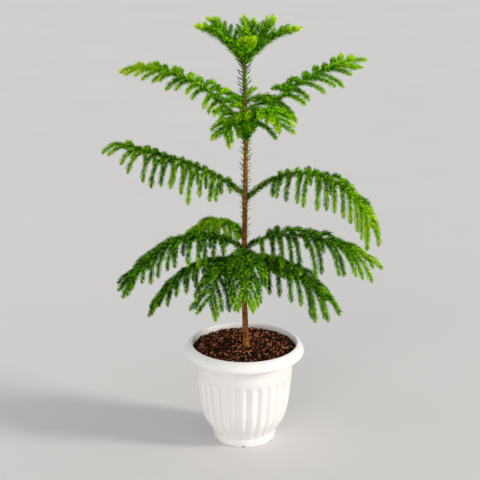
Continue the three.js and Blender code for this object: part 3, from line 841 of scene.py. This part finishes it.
class NeedleHeap:
    """Needles gathered from many shoots, dealt out by age and by new growth, with painted shade mixed in."""

    def __init__(self):
        self.batches = []

    def add(self, points, is_young, freshness_and_shade):
        self.batches.append((points, np.full(len(points), is_young), freshness_and_shade))

    def make_pieces(self, limbs):
        points, is_young, freshness_and_shade = (np.concatenate(kind) for kind in zip(*self.batches))
        for slot, shades, young in (("needles", OLD_SHADES, False), ("young_needles", YOUNG_SHADES, True)):
            nodes = foliage_nodes(limbs, young)
            level = np.digitize(freshness_and_shade, list(shades.values())[1:])
            for order, shade in enumerate(shades):
                look = speckled_look("needles_" + shade, NEEDLE_COLOURS[shade], NEEDLE_FINISH)
                dealt = points[(is_young == young) & (level == order)]
                pieces = int(np.ceil(len(dealt) / MOST_NEEDLES))
                for number, part in enumerate(np.array_split(dealt, pieces), start=1):
                    first = NEEDLE_POINTS * np.arange(len(part))[:, None, None]
                    faces = [(first + NEEDLE_SIDES).reshape(-1, 4), (first + NEEDLE_ENDS).reshape(-1, 3)]
                    make_piece(f"needles_{shade}_{number}", part.reshape(-1, 3), faces, look, nodes)


def foliage_nodes(limbs, young):
    """The names of the masses of foliage on the young tiers, or on the old ones."""
    names = []
    for limb in limbs:
        if limb["is_young"] == young:
            endings = ("",) if limb["masses"] == 1 else ("_inner", "_outer")
            names.extend("foliage_" + limb["label"] + ending for ending in endings)
    if young:
        names.append("foliage_leader")
    return names


def add_twig_needles(heap, lines, lengths, step, needle, fresh, is_young, rng, splay=NEEDLE_SPLAY):
    """Needles all round each twig, shorter and closer to it at its blunt tip."""
    shoot, share, roots, forward, outward = needle_places(lines, lengths, step, rng)
    to_tip = (1 - share) * lengths[shoot]
    before_tip = smoothstep(to_tip, 0, BLUNT_END)
    after_foot = smoothstep(share, 0, FOOT_SHARE)
    size = needle * lerp(FOOT_NEEDLE, 1, after_foot) * lerp(TIP_NEEDLE, 1, before_tip)
    size = size * rng.uniform(*NEEDLE_SIZES, len(share))
    closing = lerp(TIP_CLOSING, 1, before_tip)
    jitter = (SPLAY_JITTER * rng.uniform(-1, 1, len(share)) for _ in splay)
    splay = [np.radians(angle * closing + turn) for angle, turn in zip(splay, jitter)]
    width = NEEDLE_WIDTH * rng.uniform(*WIDTH_SIZES, len(share))
    points = needle_points(roots, forward, outward, size, splay, width)
    freshness_and_shade = fresh[shoot] + FRESH_ALONG_TWIG * share ** 2
    freshness_and_shade = freshness_and_shade + FRESH_NEEDLE_JITTER * rng.uniform(-1, 1, len(share))
    heap.add(points, is_young, freshness_and_shade)


def add_spikes(heap, lines, lengths, radius, step, needle, fresh, is_young, rng):
    """Needles that stand out from the skin of a stem or the trunk, from needle[0] to needle[1] long."""
    shoot, share, roots, forward, outward = needle_places(lines, lengths, step, rng)
    size = lerp(needle[0], needle[1], share) * rng.uniform(*SPIKE_SIZES, len(share))
    jitter = (SPIKE_SPLAY_JITTER * rng.uniform(-1, 1, len(share)) for _ in SPIKE_SPLAY)
    splay = [np.radians(angle + turn) for angle, turn in zip(SPIKE_SPLAY, jitter)]
    width = SPIKE_WIDTH * rng.uniform(*WIDTH_SIZES, len(share))
    points = needle_points(roots + radius * outward, forward, outward, size, splay, width)
    freshness_and_shade = fresh + FRESH_NEEDLE_JITTER * rng.uniform(-1, 1, len(share))
    heap.add(points, is_young, freshness_and_shade)


def add_limb_needles(heap, limb, line, rng):
    """The needles of one bough: on its twigs, on its leafy stem and, as spikes, on its foot."""
    is_young = limb["is_young"]
    shoots, lengths, along = twig_lines(limb, line, rng)
    # Each twig's fresh value: new growth towards the tip, and painted shade where a bough's values are set
    # low.
    fresh = limb["fresh"] + limb["tip_fresh"] * smoothstep(along, TIP_FROM, 1)
    fresh = fresh + FRESH_TWIG_JITTER * rng.uniform(-1, 1, len(along))
    add_twig_needles(heap, shoots, lengths, TWIG_NEEDLE_STEP, limb["needle"], fresh, is_young, rng)
    stem = along_line(line, np.linspace(limb["bare"], LEAFY_UNTIL, BOUGH_POINTS))[None]
    leafy = np.array([limb["length"] * (LEAFY_UNTIL - limb["bare"])])
    # The stem's needles keep the bough's base fresh value, darker than its twigs, as painted shade inside
    # the foliage.
    stem_fresh_and_shade = np.array([limb["fresh"]])
    add_twig_needles(
        heap, stem, leafy, STEM_NEEDLE_STEP, limb["needle"], stem_fresh_and_shade, is_young, rng, STEM_SPLAY
    )
    clear = trunk_radius(limb["height"]) / limb["length"]
    foot = along_line(line, np.linspace(clear, limb["bare"], BOUGH_POINTS))[None]
    bare = np.array([limb["length"] * (limb["bare"] - clear)])
    spike = BARE_NEEDLE * limb["needle"]
    add_spikes(heap, foot, bare, STEM_RADIUS, BARE_NEEDLE_STEP, (spike, spike), limb["fresh"], is_young, rng)
    return shoots


def make_foliage(limbs, lines, rng):
    heap = NeedleHeap()
    twigs = {True: [], False: []}
    for limb, line in zip(limbs, lines):
        twigs[limb["is_young"]].append(add_limb_needles(heap, limb, line, rng))
    needle = TIERS[-1]["needle"]
    leader, lengths = leader_lines(rng)
    fresh = np.full(len(leader), LEADER_FRESH)
    add_twig_needles(heap, leader, lengths, TWIG_NEEDLE_STEP, needle, fresh, True, rng)
    stem = leader_stem()[None]
    long = np.array([LEADER_LENGTH])
    add_twig_needles(heap, stem, long, TWIG_NEEDLE_STEP, needle, fresh[:1], True, rng)
    twigs[True].extend([leader, stem])
    for spikes in TRUNK_SPIKES:
        heights = np.linspace(*spikes["heights"], BOUGH_POINTS)
        span = np.array([heights[-1] - heights[0]])
        skin = TRUNK_SPIKE_ROOT * trunk_radius(heights.mean())
        trunk = trunk_middle(heights)[None]
        add_spikes(heap, trunk, span, skin, spikes["step"], spikes["needle"], TRUNK_SPIKE_FRESH, False, rng)
    heap.make_pieces(limbs)
    old = bark_look("twig_bark", TWIG_COLOURS)
    young = bark_look("young_twig_bark", YOUNG_TWIG_COLOURS)
    make_twigs("twigs", np.concatenate(twigs[False]), old)
    make_twigs("young_twigs", np.concatenate(twigs[True]), young)


# Pot

def flute_pot(points, body_rings):
    """Press the flutes into the body and the notches into the lower edge of the foot."""
    radius = np.hypot(points[..., 0], points[..., 1])
    turn = np.arctan2(points[..., 1], points[..., 0])
    height = points[..., 2]
    ring = np.arange(len(points))[:, None]
    on_body = (ring >= body_rings[0]) & (ring < body_rings[1])
    pitch = FULL_TURN / FLUTES
    offset = (turn - FLUTE_PHASE) / pitch
    offset = np.abs(offset - np.round(offset)) / FLUTE_HALF_WIDTH
    hollow = np.sqrt(np.clip(1 - offset ** 2, 0, 1))
    arch = FLUTE_TOP - FLUTE_ARCH * (1 - hollow)
    fade = smoothstep(height, arch, arch - FLUTE_END) * smoothstep(height, *FLUTE_FOOT)
    depth = np.where(on_body, FLUTE_DEPTH * np.clip(1 - offset ** 2, 0, 1) * fade, 0)
    shrink = (radius - depth) / radius
    shaped = points.copy()
    shaped[..., 0] *= shrink
    shaped[..., 1] *= shrink
    notch_pitch = FULL_TURN / NOTCHES
    notch = (turn - NOTCH_PHASE) / notch_pitch
    aside = np.abs(notch - np.round(notch)) * notch_pitch * FOOT_RADIUS
    arch = NOTCH_HEIGHT * np.sqrt(np.clip(1 - (aside / NOTCH_HALF_WIDTH) ** 2, 0, 1))
    at_edge = (radius > FOOT_RADIUS - NOTCH_DEPTH) & (height < NOTCH_HEIGHT) & (ring < body_rings[0])
    shaped[..., 2] = np.where(at_edge, np.maximum(height, arch), height)
    return shaped


def pot_outline():
    """The pot's outline, and the rings at which its body starts and ends."""
    foot = catmull(POT_FOOT_LINE[1:], FOOT_STEPS)
    body = catmull(POT_BODY_LINE, BODY_STEPS)
    upper = (POT_COLLAR_LINE, POT_SKIRT_LINE, POT_RIM_LINE, POT_INSIDE_LINE[:-1])
    rest = [catmull(line, UPPER_STEPS) for line in upper]
    outline = np.vstack([POT_FOOT_LINE[:1], foot, body, *rest, POT_INSIDE_LINE[-1:]])
    return outline, (len(foot), len(foot) + len(body))


def make_pot():
    outline, body_rings = pot_outline()
    points, faces = lathe(outline, FLUTES * FLUTE_COLUMNS, lambda rings: flute_pot(rings, body_rings))
    make_piece("fluted_pot", points, faces, plastic_look(), ["pot"])


# Soil

def soil_level(share):
    """Height of the soil at a share of its radius: level in the middle and lower at the edge."""
    return lerp(SOIL_LEVEL, SOIL_EDGE_LEVEL, share ** SOIL_ROUNDING)


def make_soil(rng):
    clods = rng.uniform(-1, 1, (SOIL_CLODS, 2)) * SOIL_RADIUS
    radii = rng.uniform(*CLOD_RADII, SOIL_CLODS)
    heights = radii * rng.uniform(*CLOD_HEIGHTS, SOIL_CLODS)

    def heap(points):
        share = np.hypot(points[..., 0], points[..., 1]) / SOIL_RADIUS
        is_top = points[..., 2] >= SOIL_EDGE_LEVEL
        rise = np.zeros(points.shape[:2])
        for middle, wide, high in zip(clods, radii, heights):
            distance = np.sum((points[..., :2] - middle) ** 2, axis=-1) / wide ** 2
            rise = np.maximum(rise, high * np.sqrt(np.clip(1 - distance, 0, 1)))
        shaped = points.copy()
        base = soil_level(share) - SOIL_BED_DEPTH
        flatter = lerp(1, CLOD_EDGE_HEIGHT, share ** SOIL_EDGE_POWER)
        shaped[..., 2] = np.where(is_top, base + rise * flatter, points[..., 2])
        return shaped

    shares = np.linspace(1, 0, SOIL_RINGS)[:-1]
    top = [(SOIL_RADIUS * share, SOIL_EDGE_LEVEL) for share in shares]
    points, faces = lathe([*SOIL_UNDERSIDE, *top, (0, SOIL_LEVEL)], SOIL_COLUMNS, heap)
    # The bed's near-black colour is painted shade for the gaps between the crumbs, over the soil's own
    # colour.
    look = speckled_look("potting_soil_gap_shade", SOIL_AND_GAP_SHADE_COLOURS, SOIL_FINISH)
    make_piece("soil_bed", points, faces, look, ["soil"])


def unit_ball():
    """The points and faces of a ball made of triangles."""
    shape = bmesh.new()
    bmesh.ops.create_icosphere(shape, subdivisions=1, radius=1)
    points = np.array([vertex.co[:] for vertex in shape.verts])
    faces = np.array([[vertex.index for vertex in face.verts] for face in shape.faces])
    shape.free()
    return points, faces


def make_crumbs(rng):
    """Loose crumbs that lie half sunk in the soil."""
    ball, ball_faces = unit_ball()
    parts = []
    for _ in range(SOIL_CRUMBS):
        share = np.sqrt(rng.uniform(0, 1)) * CRUMB_REACH
        turn = rng.uniform(0, FULL_TURN)
        size = lerp(*CRUMB_SIZES, rng.uniform(0, 1) ** CRUMB_POWER)
        stretch = size * rng.uniform(*CRUMB_STRETCH, 3)
        waves = (ball @ rng.normal(0, DENT_WAVES, 3) + rng.uniform(0, FULL_TURN) for _ in range(CRUMB_DENTS))
        dents = sum(np.sin(wave) for wave in waves)
        points = ball * (1 + DENT_DEPTH * dents)[:, None] * stretch
        reach = min(share * SOIL_RADIUS, SOIL_RADIUS - size)
        highest = lerp(*CRUMB_HIGHEST, share ** SOIL_EDGE_POWER)
        level = soil_level(share) + size * rng.uniform(CRUMB_LOWEST, highest)
        points = points + np.array([reach * np.cos(turn), reach * np.sin(turn), level])
        parts.append((points, [ball_faces]))
    points, faces = join(parts)
    look = speckled_look("soil_crumb", CRUMB_COLOURS, SOIL_FINISH)
    make_piece("soil_crumbs", points, faces, look, smooth=False)


# Stage

def add_sun(name, side, softness, strength, colour):
    """An even light from one side."""
    data = bpy.data.lights.new(name, "SUN")
    data.angle = np.radians(softness)
    data.energy = strength
    data.color = colour
    lamp = bpy.data.objects.new(name, data)
    bpy.context.scene.collection.objects.link(lamp)
    lamp.rotation_euler = Vector(side).to_track_quat("Z", "Y").to_euler()


def make_floor():
    half = FLOOR_HALF * MM
    corners = [(-half, -half, 0), (half, -half, 0), (half, half, 0), (-half, half, 0)]
    mesh = bpy.data.meshes.new("floor")
    mesh.from_pydata(corners, [], [(0, 1, 2, 3)])
    mesh.materials.append(floor_look())
    floor = bpy.data.objects.new("floor", mesh)
    bpy.context.scene.collection.objects.link(floor)


def make_stage():
    make_floor()
    add_sun("key", **KEY_LIGHT)
    add_sun("fill", **FILL_LIGHT)
    world = bpy.data.worlds.new("studio")
    world.use_nodes = True
    background = world.node_tree.nodes["Background"]
    background.inputs["Color"].default_value = (*SKY_COLOUR, 1)
    background.inputs["Strength"].default_value = SKY_STRENGTH
    bpy.context.scene.world = world
    bpy.context.scene.view_settings.view_transform = "Standard"


def make_camera():
    data = bpy.data.cameras.new("camera")
    data.lens = CAMERA_LENS
    data.sensor_width = SENSOR_WIDTH
    data.clip_end = CAMERA_REACH * MM
    camera = bpy.data.objects.new("camera", data)
    camera.location = [value * MM for value in CAMERA_PLACE]
    camera.rotation_euler = (np.radians(90 - CAMERA_DOWN), 0, 0)
    bpy.context.scene.collection.objects.link(camera)
    bpy.context.scene.camera = camera


def main():
    make_camera()
    make_stage()
    make_pot()
    make_soil(random_stream("soil"))
    make_crumbs(random_stream("crumbs"))
    make_trunk(random_stream("trunk"))
    limbs = list_limbs()
    lines = [bough_line(limb) for limb in limbs]
    make_boughs(limbs, lines, random_stream("boughs"))
    make_foliage(limbs, lines, random_stream("foliage"))


main()
